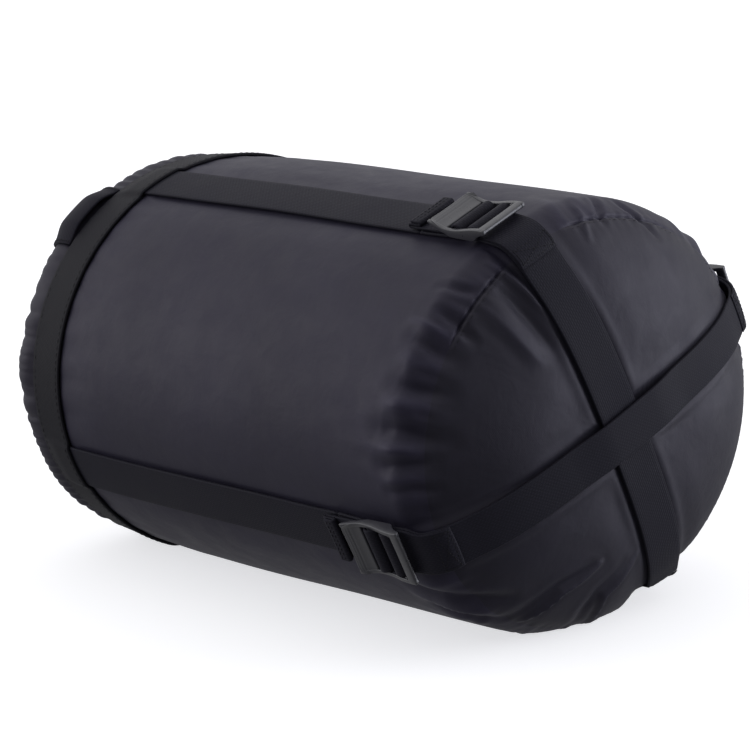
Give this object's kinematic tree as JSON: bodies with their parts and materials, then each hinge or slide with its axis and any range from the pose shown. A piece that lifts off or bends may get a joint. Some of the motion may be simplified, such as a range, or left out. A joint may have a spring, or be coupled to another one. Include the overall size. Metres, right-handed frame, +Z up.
{
  "type": "compression sack",
  "caption": "Stuffed compression sack: fabric cylinder with a domed base, drawcord mouth, webbing band and straps that tighten through hinged ladder locks.",
  "frame": {"origin": "middle of the overall box, on the floor that the sack lies on", "axes": "+X along the sack from its mouth to its domed base, +Z up; the near side with the lower strap is -Y"},
  "size_m": [0.3682, 0.2556, 0.2111],
  "materials": {
    "shell_fabric": "coated woven nylon, soft sheen",
    "webbing": "woven webbing, matt",
    "lock_plastic": "moulded acetal, satin",
    "cord": "braided cord",
    "eyelet_metal": "blackened metal",
    "spring_steel": "bright wire"
  },
  "bodies": {
    "sack_base": {"sack_tube": "shell_fabric", "base_panel": "shell_fabric", "base_strap_under": "webbing", "base_strap_over": "webbing", "strap_loop_1": "webbing", "strap_loop_2": "webbing", "strap_loop_3": "webbing", "strap_loop_4": "webbing"},
    "mouth_end": {"mouth_collar": "shell_fabric", "mouth_hem": "shell_fabric", "cord_eyelet": "eyelet_metal", "drawcord": "cord", "top_ring_band": "webbing", "carry_handle": "webbing", "cord_lock_body": "lock_plastic", "cord_lock_spring": "spring_steel", "strap_run_1": "webbing", "strap_run_2": "webbing", "strap_run_3": "webbing", "strap_run_4": "webbing"},
    "cord_plunger": {"cord_lock_plunger": "lock_plastic"},
    "lock_1": {"ladder_lock_1": "lock_plastic", "strap_wrap_1": "webbing"},
    "tail_1": {"strap_tail_1": "webbing"},
    "lock_2": {"ladder_lock_2": "lock_plastic", "strap_wrap_2": "webbing"},
    "tail_2": {"strap_tail_2": "webbing"},
    "lock_3": {"ladder_lock_3": "lock_plastic", "strap_wrap_3": "webbing"},
    "tail_3": {"strap_tail_3": "webbing"},
    "lock_4": {"ladder_lock_4": "lock_plastic", "strap_wrap_4": "webbing"},
    "tail_4": {"strap_tail_4": "webbing"}
  },
  "joints": [
    {"name": "compress", "type": "slide", "parent": "sack_base", "child": "mouth_end", "axis": [1, 0, 0], "range_m": [0, 0.08], "deforming": ["sack_tube", "strap_run_1", "strap_run_2", "strap_run_3", "strap_run_4"]},
    {"name": "lock_1_lift", "type": "hinge", "parent": "sack_base", "child": "lock_1", "pos_m": [0.1373, -0.0491, 0.20053], "axis": [0, 0.9396, 0.3424], "range_deg": [0, 14]},
    {"name": "tail_1_slide", "type": "slide", "parent": "lock_1", "child": "tail_1", "axis": [-0.9998, -0.0069, 0.0189], "range_m": [0, 0.08]},
    {"name": "lock_2_lift", "type": "hinge", "parent": "sack_base", "child": "lock_2", "pos_m": [0.13726, -0.11611, 0.05714], "axis": [0, -0.4433, 0.8964], "range_deg": [0, 14]},
    {"name": "tail_2_slide", "type": "slide", "parent": "lock_2", "child": "tail_2", "axis": [-0.9999, -0.0111, -0.0055], "range_m": [0, 0.08]},
    {"name": "lock_3_lift", "type": "hinge", "parent": "sack_base", "child": "lock_3", "pos_m": [0.1372, 0.04742, 0.0073], "axis": [0, -1, 0], "range_deg": [0, 14]},
    {"name": "tail_3_slide", "type": "slide", "parent": "lock_3", "child": "tail_3", "axis": [-1, 0, 0], "range_m": [0, 0.08]},
    {"name": "lock_4_lift", "type": "hinge", "parent": "sack_base", "child": "lock_4", "pos_m": [0.13726, 0.11611, 0.1429], "axis": [0, 0.4433, -0.8964], "range_deg": [0, 14]},
    {"name": "tail_4_slide", "type": "slide", "parent": "lock_4", "child": "tail_4", "axis": [-0.9999, 0.0111, 0.0055], "range_m": [0, 0.08]},
    {"name": "cord_lock_press", "type": "slide", "parent": "mouth_end", "child": "cord_plunger", "axis": [1, 0, 0], "range_m": [0, 0.0025], "stiffness_N_per_m": 300, "springref_m": -0.003, "deforming": ["cord_lock_spring"]}
  ],
  "couplings": [
    {"joint": "tail_1_slide", "follows": "compress", "ratio": 1},
    {"joint": "tail_2_slide", "follows": "compress", "ratio": 1},
    {"joint": "tail_3_slide", "follows": "compress", "ratio": 1},
    {"joint": "tail_4_slide", "follows": "compress", "ratio": 1}
  ]
}
